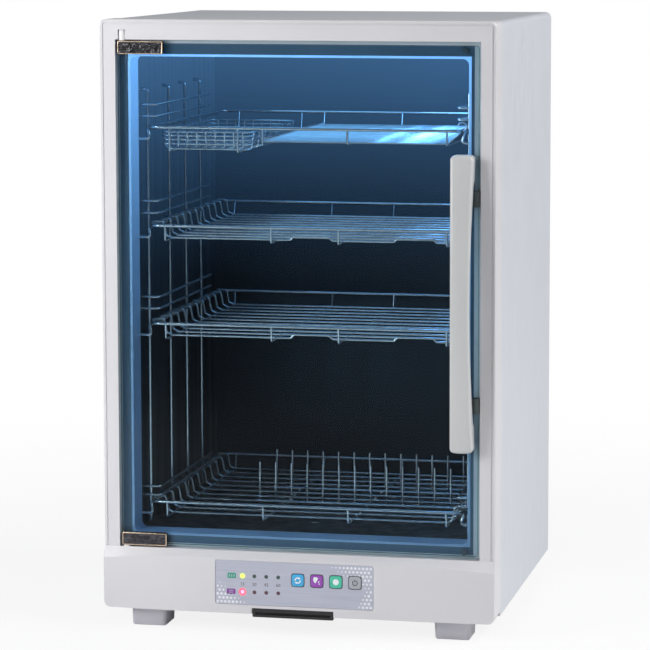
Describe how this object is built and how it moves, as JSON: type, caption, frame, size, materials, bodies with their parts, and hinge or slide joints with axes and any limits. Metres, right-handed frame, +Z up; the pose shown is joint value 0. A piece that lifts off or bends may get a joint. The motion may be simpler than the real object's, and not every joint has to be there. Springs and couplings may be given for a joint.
{
  "type": "dish sterilizer cabinet",
  "caption": "Upright counter-top dish steriliser and dryer with a clear hinged front door, bowed grip, wire shelves, key panel and pull-out drip tray.",
  "frame": {"origin": "centre of the bounding box, at the ground under the feet", "axes": "+X to the right seen from the front, +Y to the back, +Z up"},
  "size_m": [0.51, 0.502, 0.781],
  "materials": {
    "frame_plastic": "light silver-grey lacquered moulding",
    "cover_paint": "smooth light grey powder coat",
    "pan_steel": "zinc-coated sheet",
    "foot_plastic": "light grey moulded foot",
    "gland_rubber": "black moulded gland",
    "flange_paint": "dark slate with light blue jamb",
    "liner_steel": "bright stainless sheet",
    "reflector_steel": "bright reflector",
    "lamp_glass": "ultraviolet lamp tube",
    "socket_ceramic": "white lamp socket",
    "fan_plastic": "black fan plastic",
    "heater_metal": "finned heater",
    "grille_steel": "stainless grille",
    "drain_plastic": "moulded drain spout",
    "tray_plastic": "smoked moulding",
    "panel_film": "printed silver-grey overlay",
    "key_blue": "blue key",
    "key_purple": "purple key",
    "key_green": "green key",
    "key_grey": "grey key",
    "led_green": "green lamps",
    "led_red": "red lamps",
    "board": "circuit board",
    "door_glass": "clear tempered sheet, faint green edge",
    "clip_chrome": "dark chromed clip",
    "bush_white": "white pivot bush",
    "handle_plastic": "silver-grey grip",
    "screw_steel": "plated screw",
    "strike_steel": "bent steel strike",
    "magnet": "ferrite catch magnet",
    "bumper": "clear soft stop",
    "rack_wire": "bright chromed wire",
    "shelf_wire": "bright chromed wire"
  },
  "bodies": {
    "cabinet": {"air_duct": "pan_steel", "base_pan": "pan_steel", "chamber_flange": "flange_paint", "control_board": "board", "cord_gland": "gland_rubber", "display_panel": "panel_film", "door_bumper_lower": "bumper", "door_bumper_upper": "bumper", "drain_spout": "drain_plastic", "fan_housing": "fan_plastic", "floor_grille": "grille_steel", "foot_front_left": "foot_plastic", "foot_front_right": "foot_plastic", "foot_rear_left": "foot_plastic", "foot_rear_right": "foot_plastic", "front_frame": "frame_plastic", "hinge_bush_upper": "bush_white", "hinge_pin_lower": "bush_white", "lamp_reflector": "reflector_steel", "lamp_socket_front": "socket_ceramic", "lamp_socket_rear": "socket_ceramic", "led_row_lower": "led_red", "led_row_upper": "led_green", "liner_back": "liner_steel", "liner_ceiling": "liner_steel", "liner_floor": "liner_steel", "liner_left": "liner_steel", "liner_right": "liner_steel", "magnet_lower": "magnet", "magnet_upper": "magnet", "outer_cover": "cover_paint", "ptc_heater": "heater_metal", "rack_left": "rack_wire", "rack_right": "rack_wire", "rear_panel": "cover_paint", "tray_runner_left": "pan_steel", "tray_runner_right": "pan_steel", "uv_tube": "lamp_glass"},
    "door": {"door_glass": "door_glass", "hinge_clip_upper": "clip_chrome", "hinge_clip_lower": "clip_chrome", "door_handle": "handle_plastic", "handle_screw_upper": "screw_steel", "handle_screw_lower": "screw_steel", "strike_clip_upper": "strike_steel", "strike_clip_lower": "strike_steel"},
    "tray": {"drip_tray": "tray_plastic"},
    "auto_key": {"button_auto": "key_blue"},
    "dry_key": {"button_dry": "key_purple"},
    "sterilise_key": {"button_sterilise": "key_green"},
    "power_key": {"button_power": "key_grey"},
    "fan": {"fan_rotor": "fan_plastic"},
    "top_shelf": {"shelf_1": "shelf_wire", "cutlery_basket": "shelf_wire"},
    "second_shelf": {"shelf_2": "shelf_wire"},
    "third_shelf": {"shelf_3": "shelf_wire"},
    "bottom_shelf": {"shelf_4": "shelf_wire", "plate_pins_front": "shelf_wire", "plate_pins_rear": "shelf_wire"}
  },
  "joints": [
    {"name": "door_hinge", "type": "hinge", "parent": "cabinet", "child": "door", "pos_m": [-0.2261, -0.2125, 0.4298], "axis": [0, 0, -1], "range_deg": [0, 115]},
    {"name": "tray_slide", "type": "slide", "parent": "cabinet", "child": "tray", "axis": [0, -1, 0], "range_m": [0, 0.15]},
    {"name": "fan_spin", "type": "hinge", "parent": "cabinet", "child": "fan", "pos_m": [0.112, 0.103, 0.036], "axis": [0, 0, 1], "continuous": true},
    {"name": "auto_press", "type": "slide", "parent": "cabinet", "child": "auto_key", "axis": [0, 1, 0], "range_m": [0, 0.001], "stiffness_N_per_m": 300},
    {"name": "dry_press", "type": "slide", "parent": "cabinet", "child": "dry_key", "axis": [0, 1, 0], "range_m": [0, 0.001], "stiffness_N_per_m": 300},
    {"name": "sterilise_press", "type": "slide", "parent": "cabinet", "child": "sterilise_key", "axis": [0, 1, 0], "range_m": [0, 0.001], "stiffness_N_per_m": 300},
    {"name": "power_press", "type": "slide", "parent": "cabinet", "child": "power_key", "axis": [0, 1, 0], "range_m": [0, 0.001], "stiffness_N_per_m": 300},
    {"name": "top_shelf_slide", "type": "slide", "parent": "cabinet", "child": "top_shelf", "axis": [0, -1, 0], "range_m": [0, 0.03]},
    {"name": "second_shelf_slide", "type": "slide", "parent": "cabinet", "child": "second_shelf", "axis": [0, -1, 0], "range_m": [0, 0.03]},
    {"name": "third_shelf_slide", "type": "slide", "parent": "cabinet", "child": "third_shelf", "axis": [0, -1, 0], "range_m": [0, 0.03]},
    {"name": "bottom_shelf_slide", "type": "slide", "parent": "cabinet", "child": "bottom_shelf", "axis": [0, -1, 0], "range_m": [0, 0.03]}
  ]
}
